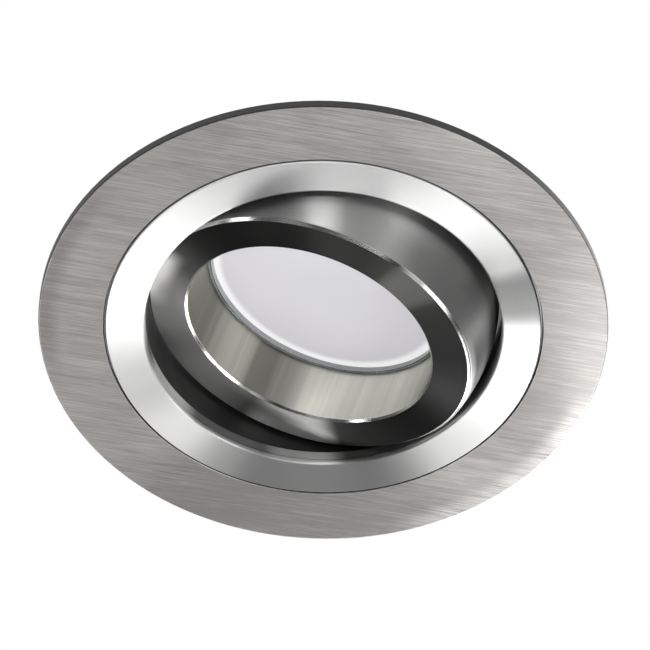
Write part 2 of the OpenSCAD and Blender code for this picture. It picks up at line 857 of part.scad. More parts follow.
// Two headed contact pins
module lamp_pins() {
    color("lightgray")
        tilted()
            for (side = [-1, 1])
                translate([side * pin_x, 0, cap_end_z]) {
                    translate([0, 0, -cap_floor - press_gap - pin_flange_t])
                        cylinder(r = pin_head_r * 0.8, h = pin_flange_t);
                    translate([0, 0, -cap_floor - press_gap - pin_flange_t / 2])
                        cylinder(r = pin_r, h = cap_floor + pin_neck + pin_flange_t);
                    translate([0, 0, pin_neck])
                        cylinder(r = pin_head_r, h = pin_head_t);
                }
}

// Curved way for both lamp pins, from the locked end at 0 back to the entry at -twist
module pin_way(r, z0, z1) {
    for (side = [0, 180])
        rotate([0, 0, side]) {
            translate([0, 0, z0])
                rotate([0, 0, -twist])
                    rotate_extrude(angle = twist)
                        translate([pin_x - r * way_share, 0])
                            square([2 * r * way_share, z1 - z0]);
            for (end = [0, -twist])
                rotate([0, 0, end])
                    translate([pin_x, 0, z0])
                        cylinder(r = r, h = z1 - z0);
        }
}

// Outer form of the lampholder between two heights: a drum with two flats and bevelled ends
module holder_block(z0, z1, inset = 0, bevel_low = 0, bevel_high = 0) {
    r = holder_r - inset;
    w = holder_w / 2 - inset;
    translate([0, 0, z0])
        intersection() {
            rotate_extrude()
                polygon([
                    [0, 0],
                    [r - bevel_low, 0],
                    [r, bevel_low],
                    [r, z1 - z0 - bevel_high],
                    [r - bevel_high, z1 - z0],
                    [0, z1 - z0]
                ]);
            rotate([90, 0, 90])
                translate([0, 0, -holder_r])
                    linear_extrude(height = 2 * holder_r)
                        polygon([
                            [bevel_low - w, 0],
                            [w - bevel_low, 0],
                            [w, bevel_low],
                            [w, z1 - z0 - bevel_high],
                            [w - bevel_high, z1 - z0],
                            [bevel_high - w, z1 - z0],
                            [-w, z1 - z0 - bevel_high],
                            [-w, bevel_low]
                        ]);
        }
}

module lampholder_body() {
    color("ivory")
        tilted()
            difference() {
                holder_block(holder_z, holder_joint_z, bevel_low = holder_bevel);
                pin_way(slot_r, holder_z - cut, holder_z + lip_t + cut);
                pin_way(well_r, holder_z + lip_t, holder_joint_z + cut);
                for (side = [0, 180])
                    rotate([0, 0, side - twist])
                        translate([pin_x, 0, holder_z - cut])
                            cylinder(r = well_r, h = lip_t + 2 * cut);
                for (side = [-1, 1])
                    translate([0, side * post_y, holder_z + holder_screw_from])
                        cylinder(r = holder_screw_r + press_gap, h = holder_h);
            }
}

// Back half with the wire inlets and the two screw posts
module lampholder_cap() {
    color("ivory")
        tilted()
            difference() {
                union() {
                    difference() {
                        holder_block(holder_joint_z + press_gap, holder_end_z, bevel_high = holder_bevel);
                        holder_block(holder_joint_z - cut, holder_end_z - holder_floor, holder_wall);
                    }
                    for (side = [-1, 1])
                        translate([0, side * post_y, holder_joint_z + press_gap])
                            cylinder(r = post_r, h = holder_cap_h - holder_floor);
                }
                for (side = [-1, 1])
                    translate([0, side * post_y, holder_joint_z - cut])
                        cylinder(r = holder_screw_r + press_gap, h = holder_cap_h + 2 * cut);
                for (side = [0, 180])
                    rotate([0, 0, side - twist / 2])
                        translate([pin_x, 0, holder_joint_z])
                            cylinder(r = inlet_d / 2, h = holder_cap_h + cut);
            }
}

// Brass leaf above each pin's head, with its riser and terminal block
module lampholder_contacts() {
    leaf_z = head_end_z + leaf_gap;
    block_z = holder_joint_z + 2 * press_gap;
    color("gold")
        tilted()
            for (side = [0, 180])
                rotate([0, 0, side]) {
                    translate([0, 0, leaf_z])
                        rotate([0, 0, -twist])
                            rotate_extrude(angle = twist)
                                translate([pin_x - leaf_w / 2, 0])
                                    square([leaf_w, leaf_t]);
                    rotate([0, 0, -twist / 2])
                        translate([pin_x, 0, 0])
                            difference() {
                                union() {
                                    translate([-leaf_w / 2, -riser_t / 2, leaf_z + leaf_t / 2])
                                        cube([leaf_w, riser_t, block_z - leaf_z]);
                                    translate([-terminal_l / 2, -terminal_w / 2, block_z])
                                        cube([terminal_l, terminal_w, terminal_h]);
                                }
                                translate([0, 0, block_z + leaf_t])
                                    cylinder(r = wire_hole_r, h = terminal_h);
                            }
                }
}

// Two long screws that hold the lampholder's halves together
module lampholder_screws() {
    color("gray")
        tilted()
            for (side = [-1, 1])
                translate([0, side * post_y, holder_end_z + press_gap])
                    pan_screw(holder_screw_r, holder_h + holder_cap_h - holder_screw_from - press_gap,
                        holder_screw_head_r, holder_screw_head_t);
}

trim_plate();
gasket();
bezel_ring();
housing_casting();
earth_tag();
earth_screw();
clip_pin(-1);  // clip_pin_left
clip_pin(1);  // clip_pin_right
clip_spring(-1);  // clip_spring_left
clip_spring(1);  // clip_spring_right
clip_arm(-1);  // clip_arm_left
clip_arm(1);  // clip_arm_right
clip_pad(-1);  // clip_pad_left
clip_pad(1);  // clip_pad_right
gimbal_ring();
pivot_screw(-1);  // pivot_screw_left
pivot_screw(1);  // pivot_screw_right
pivot_washer(-1);  // pivot_washer_left
pivot_washer(1);  // pivot_washer_right
lamp_circlip();
lamp_glass();
lamp_diffuser();
led_board();
led_chips();
lamp_heatsink();
lamp_driver();
lamp_cap();
lamp_pins();
lampholder_body();
lampholder_cap();
lampholder_contacts();
lampholder_screws();
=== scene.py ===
# %% [markdown]
# # A soffit downlight in its ceiling
#
# The packed CAD model already holds every solid of the light, in the place and at the size that
# the real one has: trim, bezel, tilt ring, lamp, lampholder, casting and the two ceiling clips.
# This lesson dresses that model. It gives every piece the finish that its maker would have given
# it, winds the two clip springs as real wire, and sets up the camera and the studio.

# %% Load the packed model
import math

import bmesh
import bpy
from mathutils import Matrix, Vector


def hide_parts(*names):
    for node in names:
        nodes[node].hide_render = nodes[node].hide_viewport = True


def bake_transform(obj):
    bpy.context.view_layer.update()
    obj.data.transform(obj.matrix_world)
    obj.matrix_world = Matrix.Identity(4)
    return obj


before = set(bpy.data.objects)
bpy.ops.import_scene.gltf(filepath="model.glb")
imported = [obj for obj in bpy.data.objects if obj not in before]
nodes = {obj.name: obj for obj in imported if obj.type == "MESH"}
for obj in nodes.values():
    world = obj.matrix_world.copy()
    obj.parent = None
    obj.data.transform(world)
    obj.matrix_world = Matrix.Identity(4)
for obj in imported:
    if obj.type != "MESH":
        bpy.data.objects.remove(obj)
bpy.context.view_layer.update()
MM = 0.001

# %% [markdown]
# ## The camera
#
# The photograph looks up at the light from below, about 41 degrees off its axis, with a long lens.
# Five circles of the light were fitted together to find that view: the trim's two edges, the
# bezel's two edges and the rims of the tilt ring. Azimuth and elevation say where the camera
# stands, and the roll is the small clockwise turn of the picture. A camera is turned by a matrix
# whose columns are its right, its up and its back.

# %% Place the camera
CAMERA_AZIMUTH = math.radians(-59.23)
CAMERA_ELEVATION = math.radians(-49.37)
CAMERA_ROLL = math.radians(1.55)
CAMERA_DISTANCE = 800 * MM
CAMERA_LENS = 252.5
NEAREST, FARTHEST = 10 * MM, 20
TRIM_FACE_Z = -1.7 * MM
VIEW_SHIFT = (0.34 * MM, 1.22 * MM)

camera = bpy.data.objects.new("camera", bpy.data.cameras.new("camera"))
bpy.context.collection.objects.link(camera)
bpy.context.scene.camera = camera
back = Vector((
    math.sin(CAMERA_AZIMUTH) * math.cos(CAMERA_ELEVATION),
    -math.cos(CAMERA_AZIMUTH) * math.cos(CAMERA_ELEVATION),
    math.sin(CAMERA_ELEVATION),
))
turn = back.to_track_quat("Z", "Y").to_matrix() @ Matrix.Rotation(CAMERA_ROLL, 3, "Z")
right, up = turn.col[0], turn.col[1]
aim = Vector((0, 0, TRIM_FACE_Z)) + right * VIEW_SHIFT[0] + up * VIEW_SHIFT[1]
camera.matrix_world = Matrix.Translation(aim + back * CAMERA_DISTANCE) @ turn.to_4x4()
camera.data.lens = CAMERA_LENS
camera.data.clip_start, camera.data.clip_end = NEAREST, FARTHEST
print("camera at", [round(c, 3) for c in camera.location])
print("it looks back along", [round(c, 3) for c in back])

# %% [markdown]
# ## Shader maths as plain Python
#
# A material here is a small program over the surface. Writing it node by node is long, so one
# class wraps an output socket and lets `+`, `-`, `*` and `/` add the Math nodes. Its other methods
# are the few steps that every finish below is made of, such as a soft edge at a chosen measure.

# %% The signal
class Signal:
    """An output socket, with the arithmetic that shader maths needs."""

    def __init__(self, graph, socket):
        self.graph, self.socket = graph, socket

    def math(self, operation, *values):
        return self.graph.node("ShaderNodeMath", {"operation": operation}, dict(enumerate(values)))

    def __add__(self, other):
        return self.math("ADD", self, other)

    def __sub__(self, other):
        return self.math("SUBTRACT", self, other)

    def __rsub__(self, other):
        return self.math("SUBTRACT", other, self)

    def __mul__(self, other):
        return self.math("MULTIPLY", self, other)

    def __truediv__(self, other):
        return self.math("DIVIDE", self, other)

    def either(self, other):
        """The larger of two signals."""
        return self.math("MAXIMUM", self, other)

    def cycle(self, pitch):
        """How far this distance is into its repeat of length pitch, from 0 to 1."""
        return self.math("FRACT", self / pitch)

    def over(self, edge, soft):
        """0 below edge, 1 above it, with a ramp as wide as soft between them."""
        return self.graph.node(
            "ShaderNodeMapRange", {"interpolation_type": "SMOOTHSTEP"},
            {"Value": self, "From Min": edge - soft / 2, "From Max": edge + soft / 2},
        )

    def spread(self, low, high):
        """This 0 to 1 signal, stretched from low to high."""
        return self * (high - low) + low


print("a signal's steps:", [name for name in vars(Signal) if not name.startswith("_")])

# %% [markdown]
# ## A graph of nodes
#
# Materials and the world are both node trees. One class adds a node to either: its settings come
# first, then the values or links of its sockets, and what comes back is the signal of one output.
# A colour is written with three numbers, and the fourth, its alpha, is added on the way.

# %% The graph
class Graph:
    """A node tree in the making."""

    def __init__(self, tree):
        self.tree = tree

    def plug(self, socket, value):
        """Links a signal to a socket, or writes a plain value there."""
        if isinstance(value, Signal):
            self.tree.links.new(value.socket, socket)
        elif socket.type == "RGBA" and len(value) == 3:
            socket.default_value = (*value, 1)
        else:
            socket.default_value = value

    def node(self, kind, settings=None, sockets=None, out=0):
        """Adds a node and gives the signal of its output named or numbered out."""
        made = self.tree.nodes.new(kind)
        for name, value in (settings or {}).items():
            setattr(made, name, value)
        for name, value in (sockets or {}).items():
            self.plug(made.inputs[name], value)
        return Signal(self, made.outputs[out])

    def vector(self, operation, *values, out=0):
        """A step of vector maths."""
        return self.node("ShaderNodeVectorMath", {"operation": operation}, dict(enumerate(values)), out)


print("a graph's steps:", [name for name in vars(Graph) if not name.startswith("_")])

# %% [markdown]
# ## A finish
#
# A finish is one material with its main shader. Turned and brushed metal is described best by
# where a point lies on the piece: how far from the axis, how high, and in which direction. So a
# finish can measure those three, make noise along any of them, and lay one colour over another.
# A fan is a soft sector about the axis, the shape in which light and shade lie on a round piece.

# %% The finish
class Finish(Graph):
    """A material being made, with the measures and the patterns that the pieces share."""

    def __init__(self, name, color=(0.8, 0.8, 0.8), roughness=0.5, metallic=0.0, **sockets):
        self.material = bpy.data.materials.new(name)
        self.material.use_nodes = True
        super().__init__(self.material.node_tree)
        self.shader = self.tree.nodes["Principled BSDF"]
        self.give({"Base Color": color, "Roughness": roughness, "Metallic": metallic})
        for socket, value in sockets.items():
            self.give({socket.replace("_", " ").title().replace("Ior", "IOR"): value})

    def give(self, sockets):
        """Fills sockets of the main shader."""
        for name, value in sockets.items():
            self.plug(self.shader.inputs[name], value)

    def surface(self, shader):
        """Puts another shader in the main one's place."""
        self.plug(self.tree.nodes["Material Output"].inputs["Surface"], shader)
        self.tree.nodes.remove(self.shader)

    def place(self, centre=(0, 0, 0), turned=(0, 0, 0), scale=(1, 1, 1)):
        """Object coordinates about a centre, turned back by the angles and stretched by scale."""
        coords = self.node("ShaderNodeTexCoord", out="Object")
        own = self.node("ShaderNodeMapping", {"vector_type": "TEXTURE"},
                        {"Vector": coords, "Location": centre, "Rotation": turned})
        return own if scale == (1, 1, 1) else self.vector("MULTIPLY", own, scale)

    def parts(self, vector):
        """The X, Y and Z of a place."""
        made = self.tree.nodes.new("ShaderNodeSeparateXYZ")
        self.plug(made.inputs[0], vector)
        return [Signal(self, made.outputs[axis]) for axis in range(3)]

    def height(self, vector):
        """The Z of a place."""
        return self.parts(vector)[2]

    def radius(self, vector):
        """Distance of a place from the Z axis."""
        return self.vector("LENGTH", self.vector("MULTIPLY", vector, (1, 1, 0)), out="Value")

    def around(self, vector):
        """The direction of a place from the Z axis, which changes with the azimuth alone."""
        return self.vector("NORMALIZE", self.vector("MULTIPLY", vector, (1, 1, 0)))

    def fan(self, vector, azimuth, half):
        """1 within half of an azimuth about the Z axis, in degrees, and 0 outside, softly."""
        x, y, _ = self.parts(self.around(vector))
        near = x * math.cos(math.radians(azimuth)) + y * math.sin(math.radians(azimuth))
        edge = math.cos(math.radians(half))
        return near.over(edge, 1.5 * (1 - edge))

    def fans(self, vector, *sectors):
        """Adds up fans: each sector is an azimuth, a half width and a level."""
        total = 0.0
        for azimuth, half, level in sectors:
            total = self.fan(vector, azimuth, half) * level + total
        return total

    def noise(self, vector, scale, detail, rough):
        """Noise over a place, with a scale in turns per metre."""
        return self.node("ShaderNodeTexNoise", {}, {
            "Vector": vector, "Scale": scale, "Detail": detail, "Roughness": rough})

    def rings(self, distance, scale, detail):
        """Noise that changes with a distance alone, as a lathe tool leaves."""
        return self.node("ShaderNodeTexNoise", {"noise_dimensions": "1D"},
                         {"W": distance, "Scale": scale, "Detail": detail})

    def mix(self, factor, a, b):
        """Colour a where the factor is 0, and b where it is 1."""
        return self.node("ShaderNodeMix", {"data_type": "RGBA"}, {0: factor, 6: a, 7: b}, out=2)

    def paint(self, base, *coats):
        """Lays coats over a base colour in turn: each coat has a factor and a colour."""
        for factor, color in coats:
            base = self.mix(factor, base, color)
        return base

    def tint(self, color, factor):
        """A colour times a plain signal."""
        return self.node("ShaderNodeVectorMath", {"operation": "SCALE"}, {0: color, "Scale": factor})

    def bump(self, height, strength, distance):
        """Raises the surface by the height, which is as high as distance where it is 1."""
        self.give({"Normal": self.node("ShaderNodeBump", {}, {
            "Height": height, "Strength": strength, "Distance": distance})})


def dress(finish, *names):
    """Gives a finish to CAD nodes."""
    for name in names:
        nodes[name].data.materials.clear()
        nodes[name].data.materials.append(finish.material)
    print(finish.material.name, "on", ", ".join(names))


# %% [markdown]
# ## The tilted cup's own frame
#
# The tilt ring and the lamp hang in the casting at 19.2 degrees, about an axis 7.6 mm above the
# ceiling. Their tool marks go round their own axis and not the ceiling's. A Mapping node gives
# that frame: in it the ring's face looks straight down -Z again.

# %% A place on the tilted cup
TILT = math.radians(19.2)
PIVOT_Z = 7.6 * MM


def tilt_place(finish):
    """Object coordinates of the tilted cup: the face looks along -Z, and the lamp's axis is Z."""
    return finish.place((0, 0, PIVOT_Z), (TILT, 0, 0))


print("cup tilted by", round(math.degrees(TILT), 1), "degrees at", round(PIVOT_Z / MM, 1), "mm")

# %% [markdown]
# ## The brushing of the trim plate
#
# The plate is pressed from sheet and brushed in one straight direction on a belt, then lacquered.
# The belt leaves scratches a few millimetres long and about a tenth of a millimetre wide, some
# light and some dark. Noise stretched along the grain gives them: once for the fine scratches,
# once for longer and broader ones, and once for slow clouds of wear. An image of brushed metal
# would do too, but noise has no seam and no edge.

# %% Belt marks
GRAIN = math.radians(-49.4)
trim = Finish("belt_brushed_nickel", metallic=1)


def belt_marks(stretch, detail, rough=0.5):
    """Noise along the grain, with the stretch in turns per metre."""
    return trim.noise(trim.place(turned=(0, 0, GRAIN), scale=stretch), 1, detail, rough)


streak = belt_marks((150, 8500, 300), 3, 0.65) * 0.78 + belt_marks((60, 3600, 200), 2) * 0.22
cloud = belt_marks((60, 420, 90), 2)
print("the grain runs at", round(math.degrees(GRAIN), 1), "degrees to X")

# %% [markdown]
# ## The colour of the trim plate
#
# The same marks colour the face and, as a bump, spread the light across the grain, as real scratches do. The
# turned-back rim, outside one fan, and the wall of the groove round the bezel get painted shade and look
# nearly black, and a thin polished lip stands between wall and face. The face also has painted shade in a few
# soft fans and a painted highlight near one side of its edge, where the lacquer catches a lamp.

# %% Brushed plate, with painted shade and a painted highlight
RIM_RADIUS, RIM_Z = 49.65 * MM, -1.66 * MM
WALL_RADIUS, WALL_Z = 38.62 * MM, -1.6 * MM
LIP_RADIUS = 38.72 * MM
OUTER_FACE = 47.2 * MM

spot = trim.place()
across, height = trim.radius(spot), trim.height(spot)
# Painted shade: the rim is nearly black outside one fan, and the groove wall is nearly black all round.
unlit = 1 - trim.fan(spot, 330, 62)
rim = across.over(RIM_RADIUS, 0.12 * MM) * height.over(RIM_Z, 0.06 * MM) * unlit
painted_groove_wall = (1 - across.over(WALL_RADIUS, 0.04 * MM)) * height.over(WALL_Z, 0.04 * MM)
lip = (1 - across.over(LIP_RADIUS, 0.05 * MM)) * (1 - painted_groove_wall)
outer = across.over(OUTER_FACE, 3.4 * MM)
# Painted shade in four fans of the face, and a painted highlight near its outer edge.
shade = trim.fans(spot, (38, 33, 0.52), (208, 38, 0.16), (296, 42, 0.45), (134, 24, outer * 0.4))
painted_edge_shine = trim.fan(spot, 346, 24) * outer * streak.over(0.45, 0.3)
brushing_less_shade = (streak * 0.8 + cloud * 0.2).over(0.5, 0.44) - shade
metal = trim.paint(
    trim.mix(brushing_less_shade, (0.31, 0.298, 0.29), (0.60, 0.577, 0.558)),
    (painted_edge_shine * 0.55, (0.92, 0.89, 0.87)),
    (lip, (0.85, 0.84, 0.83)),
    (painted_groove_wall, (0.015, 0.015, 0.015)),
    (rim, (0.07, 0.07, 0.07)),
)
trim.give({"Base Color": metal, "Roughness": streak.spread(0.24, 0.42) + rim * 0.2})
trim.bump(streak, 0.5, 0.04 * MM)
dress(trim, "trim_plate")

# %% [markdown]
# ## The turned bezel
#
# The bezel is faced on a lathe, so its scratches are circles. Light is spread across them and
# hardly along them, which draws bright fans from the centre. The Anisotropic value does that
# spreading, and without a tangent of its own the shader turns it round the Z axis.
#
# Its face also has a painted highlight in one fan and painted shade in three. Its rounded bore has painted
# shade, deeper further in, with three painted glints. Its outer wall stands in the groove: it has painted
# light on the side where light falls in, where it is treated as a matt surface, and painted shade on the
# other side.

# %% Turned bezel, with painted light and shade
BEZEL_BORE, BEZEL_WALL = 31.75 * MM, 38.13 * MM
BORE_DEPTH = -0.7 * MM
LIT_DEPTH = -1.56 * MM

bezel = Finish("lathe_faced_nickel", anisotropic=0.9, anisotropic_rotation=0.25)
spot = bezel.place()
across, height = bezel.radius(spot), bezel.height(spot)
tool = bezel.rings(across, 9000, 3)
inside = 1 - across.over(BEZEL_BORE, 0.3 * MM)
painted_groove_wall = across.over(BEZEL_WALL, 0.05 * MM)
# Painted shade in three fans of the face, and three painted glints for the bore.
shade = bezel.fans(spot, (33, 31, 0.85), (286, 9, 0.75), (78, 17, 0.3))
glint = bezel.fans(spot, (91, 12, 0.85), (36, 11, 0.7), (128, 14, 0.6))
# The groove wall of the bezel gets painted light on the side round azimuth 200, nearest the face, and painted
# shade elsewhere.
near = bezel.fan(spot, 200, 62)
lit = 1 - height.over(LIT_DEPTH, 0.14 * MM)
# Over the lathe rings: a painted highlight in one fan, painted shade in three, painted shade in the bore,
# deeper further in, its painted glints, and painted light and shade on the groove wall.
metal = bezel.paint(
    bezel.mix(tool.over(0.5, 0.6), (0.76, 0.76, 0.755), (0.86, 0.86, 0.855)),
    (bezel.fan(spot, 228, 36), (0.97, 0.97, 0.965)),
    (shade, (0.22, 0.22, 0.218)),
    (inside, (0.42, 0.42, 0.415)),
    (inside * height.over(BORE_DEPTH, 1.2 * MM), (0.2, 0.2, 0.198)),
    (inside * glint, (0.96, 0.96, 0.95)),
    (painted_groove_wall, bezel.tint((0.95, 0.94, 0.93), near * (lit * 0.7 + 0.3) + 0.02)),
)
bezel.give({"Base Color": metal, "Roughness": tool.spread(0.34, 0.44), "Metallic": 1 - painted_groove_wall * near})
bezel.bump(tool, 0.15, 0.02 * MM)
dress(bezel, "bezel_ring")

# %% [markdown]
# ## The tilt ring's surfaces
#
# The ball-shaped ring is turned from bar. Its face and chamfers are polished, its ball is satin,
# and its bore is left with the marks of the boring bar. The CAD node is one solid, so one material
# reads the place on the ring in the ring's own tilted frame, and tells the surfaces apart by the
# distance from the axis and by the height.

# %% Which surface of the ring
RING_FACE, FACE_EDGE = -9.26 * MM, -9.27 * MM
CHAMFER_BACK = -8.8 * MM
BORE_RADIUS, BORE_START = 23.4 * MM, -8.92 * MM
FACE_MIDDLE = 26.6 * MM

ring = Finish("polished_tilt_ring", metallic=1, anisotropic=0.9, anisotropic_rotation=0.25)
own = tilt_place(ring)
across, height = ring.radius(own), ring.height(own)
tool = ring.rings(across + height, 6000, 3)
front = 1 - height.over(RING_FACE, 0.04 * MM)
bore = (1 - across.over(BORE_RADIUS, 0.1 * MM)) * height.over(BORE_START, 0.04 * MM)
chamfer = (1 - height.over(CHAMFER_BACK, 0.04 * MM)) * height.over(FACE_EDGE, 0.03 * MM)
outward = across.over(FACE_MIDDLE, 3.6 * MM)
print("ring face at", round(RING_FACE / MM, 2), "mm, chamfers up to", round(CHAMFER_BACK / MM, 2), "mm")

# %% [markdown]
# ## The ball and the bore
#
# The ball takes its satin from fine rings of the tool. One fan has a painted highlight and two have painted
# shade, where the real ball turns away from its lamps. The bore is pale and slightly yellow, with broad
# streaks of painted reflection along its length that come from noise on the direction alone, and brighter and
# darker fans of painted reflection.

# %% Satin ball and bored wall, with painted light, shade and reflection
BALL_DEPTH = -7.6 * MM

deep = height.over(BALL_DEPTH, 1.8 * MM)
# A painted highlight in one fan of the ball, and painted shade in two, the second stronger further back from
# the face.
metal = ring.paint(
    ring.mix(tool.over(0.5, 0.6), (0.44, 0.44, 0.435), (0.60, 0.60, 0.595)),
    (ring.fan(own, 224, 20) * 0.55, (0.96, 0.955, 0.95)),
    (ring.fans(own, (262, 20, 0.6), (311, 21, deep * 0.95)), (0.04, 0.04, 0.04)),
)
# Painted reflection on the bore: streaks from noise on the direction, with brighter and darker fans.
reflection_noise = ring.noise(ring.around(own), 9, 5, 0.75).over(0.5, 0.6)
reflection_streaks = reflection_noise * 0.24 + ring.fans(own, (12, 38, 0.5), (53, 13, -0.5), (122, 32, -0.42)) + 0.26
metal = ring.mix(bore, metal, ring.mix(reflection_streaks, (0.24, 0.235, 0.20), (0.98, 0.98, 0.87)))
print("ball and bore from", len(ring.tree.nodes), "nodes")

# %% [markdown]
# ## The polished face and its chamfers
#
# The face is a dark mirror: its dark colour is a painted reflection of an unlit part of the room, apart from
# a few fans of painted highlight where a lamp is caught. Its tone is a product of one warm white with a sum
# of fans. The two chamfers beside it are bright lines, with painted shade in the fans where the real lines
# break off. The outer line is thinner at the right of the view, so its back half gets painted shade there.

# %% Polished face as a painted reflection
OUTER_CHAMFER, CHAMFER_MIDDLE = 28 * MM, -9.02 * MM

# The face's dark colour is a painted reflection, with painted highlights in a few fans and painted shade in
# two.
painted_face_reflection = ring.fans(
    own, (38, 15, outward.spread(0.42, 1)), (96, 38, 0.28), (135, 14, outward * 0.37), (254, 9, 0.1),
    (316, 34, -0.034), (218, 20, -0.02),
) + 0.06
inner = (1 - outward) * 0.75
back_half = across.over(OUTER_CHAMFER, 0.5 * MM) * height.over(CHAMFER_MIDDLE, 0.1 * MM)
# Painted shade on the chamfers, in the fans where their highlights break off.
chamfer_shade = ring.fans(
    own, (249, 9, 0.9), (55, 13, inner), (146, 18, inner), (318, 46, back_half * 0.85),
    (346, 22, outward * 0.75),
)
metal = ring.paint(
    metal,
    (front, ring.tint((1, 0.99, 0.97), painted_face_reflection)),
    (chamfer, ring.tint((0.95, 0.95, 0.94), 1 - chamfer_shade)),
)
ring.give({"Base Color": metal, "Roughness": tool.spread(0.3, 0.4) + front * 0.04 - chamfer * 0.12})
ring.bump((tool - 0.5) * (1 - chamfer), 0.12, 0.02 * MM)
dress(ring, "gimbal_ring")

# %% [markdown]
# ## The lamp's glass and its frosted disc
#
# The reflector lamp's body is pressed glass with a grey-blue tint. Only its rim shows from below, as a dark
# line of painted shadow with a paler one inside it, so the front of the glass is coloured by its distance
# from the lamp's axis.
#
# The disc is frosted plastic. It is evenly pale deep inside the ring, where little light comes, so a weak
# emission paints light onto its own colour, and a stronger painted glow makes it a little brighter along its
# edge.

# %% The lamp
GLASS_FRONT = 3.3 * MM
SHADOW_LINE = 21.85 * MM
PALE_LINE = (22.06 * MM, 22.34 * MM)
DISC_MIDDLE, DISC_EDGE = 5 * MM, 20.4 * MM

glass = Finish("pressed_glass", (0.86, 0.9, 0.9), 0.1, transmission_weight=0.75, ior=1.5)
own = tilt_place(glass)
across = glass.radius(own)
pale = across.over(PALE_LINE[0], 0.08 * MM) * (1 - across.over(PALE_LINE[1], 0.08 * MM))
front = 1 - glass.height(own).over(GLASS_FRONT, 0.1 * MM)
# Painted shadow: the glass's front is dark outside a radius of 21.85 mm, apart from a pale band.
lines = glass.mix(pale, (0.17, 0.19, 0.195), (0.74, 0.83, 0.85))
lines = glass.mix(across.over(SHADOW_LINE, 0.1 * MM), (0.97, 0.98, 1.0), lines)
glass.give({"Base Color": glass.mix(front, (0.82, 0.87, 0.87), lines)})
dress(glass, "lamp_glass")

disc = Finish("frosted_white", (0.25, 0.247, 0.255), 0.5, emission_strength=0.49)
across = disc.radius(tilt_place(disc))
# A painted glow on the disc, which is no lamp, stronger along its edge.
painted_glow = disc.mix(across.over(DISC_MIDDLE, 9 * MM), (0.86, 0.87, 0.93), (0.92, 0.90, 0.95))
disc.give({"Emission Color": disc.mix(across.over(DISC_EDGE, 1.4 * MM), painted_glow, (1.5, 1.5, 1.5))})
dress(disc, "lamp_diffuser")

# %% [markdown]
# ## Castings, mouldings and foam
#
# What is poured or foamed has no direction: it is mottled, with a fine grain all over. Two noises
# do it, a broad one for the mottling of colour and gloss and a fine one for the grain, which is
# also the bump. The sizes are those of the real grain: tenths of a millimetre.

# %% A mottled finish
def mottled(name, dark, light, roughness, grain, depth, **sockets):
    """A finish from dark to light whose grain is as wide as grain and as deep as depth."""
    finish = Finish(name, **sockets)
    spot = finish.place()
    fine = finish.noise(spot, 1 / grain, 3, 0.6)
    broad = finish.noise(spot, 0.08 / grain, 2, 0.5)
    finish.color = finish.mix((fine * 0.4 + broad * 0.6).over(0.5, 0.4), dark, light)
    finish.give({
        "Base Color": finish.color,
        "Roughness": broad.over(0.5, 0.5).spread(roughness - 0.07, roughness + 0.07),
    })
    finish.bump(fine, 0.6, depth)
    return finish


for name, dark, light, roughness, grain, depth, *pieces in (
    ("black_nylon", (0.02, 0.02, 0.022), (0.045, 0.045, 0.047), 0.45, 0.3, 0.01,
     "pivot_washer_left", "pivot_washer_right"),
    ("grey_sleeve_rubber", (0.09, 0.09, 0.095), (0.16, 0.16, 0.165), 0.7, 0.35, 0.02,
     "clip_pad_left", "clip_pad_right"),
    ("white_moulding_resin", (0.80, 0.80, 0.78), (0.90, 0.90, 0.88), 0.34, 0.4, 0.01, "lamp_cap"),
    ("unglazed_steatite", (0.66, 0.62, 0.54), (0.80, 0.77, 0.69), 0.6, 0.35, 0.03, "lampholder_cap"),
):
    dress(mottled(name, dark, light, roughness, grain * MM, depth * MM), *pieces)
glaze = mottled("glazed_steatite", (0.70, 0.67, 0.60), (0.84, 0.81, 0.74), 0.3, 0.6 * MM, 0.02 * MM,
                coat_weight=0.6, coat_roughness=0.08)
dress(glaze, "lampholder_body")

# %% [markdown]
# ## The die casting
#
# The body is die-cast alloy, left as it came from the die. The inside of its barrel shows only as a dark gap
# round the tilt ring, so a mask by the distance from the axis paints shade there, with one patch of painted
# light where light falls in.

# %% Casting
BARREL_BORE = 31.4 * MM

cast = mottled("die_cast_alloy", (0.46, 0.465, 0.47), (0.66, 0.66, 0.66), 0.46, 0.5 * MM, 0.04 * MM,
               metallic=1)
spot = cast.place()
# Painted shade inside the barrel, with a patch of painted light in one fan.
inside = 1 - cast.radius(spot).over(BARREL_BORE + 0.15 * MM, 0.1 * MM)
shade_and_lit_patch = cast.fan(spot, 128, 9) * 0.6 + 0.07
cast.give({"Base Color": cast.mix(inside, cast.color, cast.tint((1, 1, 1), shade_and_lit_patch))})
dress(cast, "housing_casting")

# %% [markdown]
# ## The foam seal
#
# The seal behind the trim is closed-cell foam. Its cut face shows small round cells, which Voronoi
# cells with a bump between them give.

# %% Foam
CELL_SIZE = 0.45 * MM

foam = Finish("closed_cell_foam", roughness=0.9)
cells = foam.node("ShaderNodeTexVoronoi", {}, {"Vector": foam.place(), "Scale": 1 / CELL_SIZE})
foam.give({"Base Color": foam.mix(cells.over(0.45, 0.5), (0.02, 0.02, 0.021), (0.075, 0.075, 0.078))})
foam.bump(cells, 0.9, 0.15 * MM)
dress(foam, "gasket")

# %% [markdown]
# ## Rolled, drawn and plated metal
#
# Strip is rolled and wire is drawn, so their grain runs along them. The screws and pins are plated
# with zinc, which is paler in places and a little blue. Brass has darker tarnish in soft patches,
# and the spun heat sink has its grain round it. The clips stand at 45 degrees to the tilt axis, so
# their grain is turned with them.

# %% Metals with a grain
CLIP_AZIMUTH = math.radians(45)
STRAIGHT, ALONG_CLIP, ALONG_LAMP = (0, 0, 0), (0, 0, CLIP_AZIMUTH), (TILT, 0, 0)


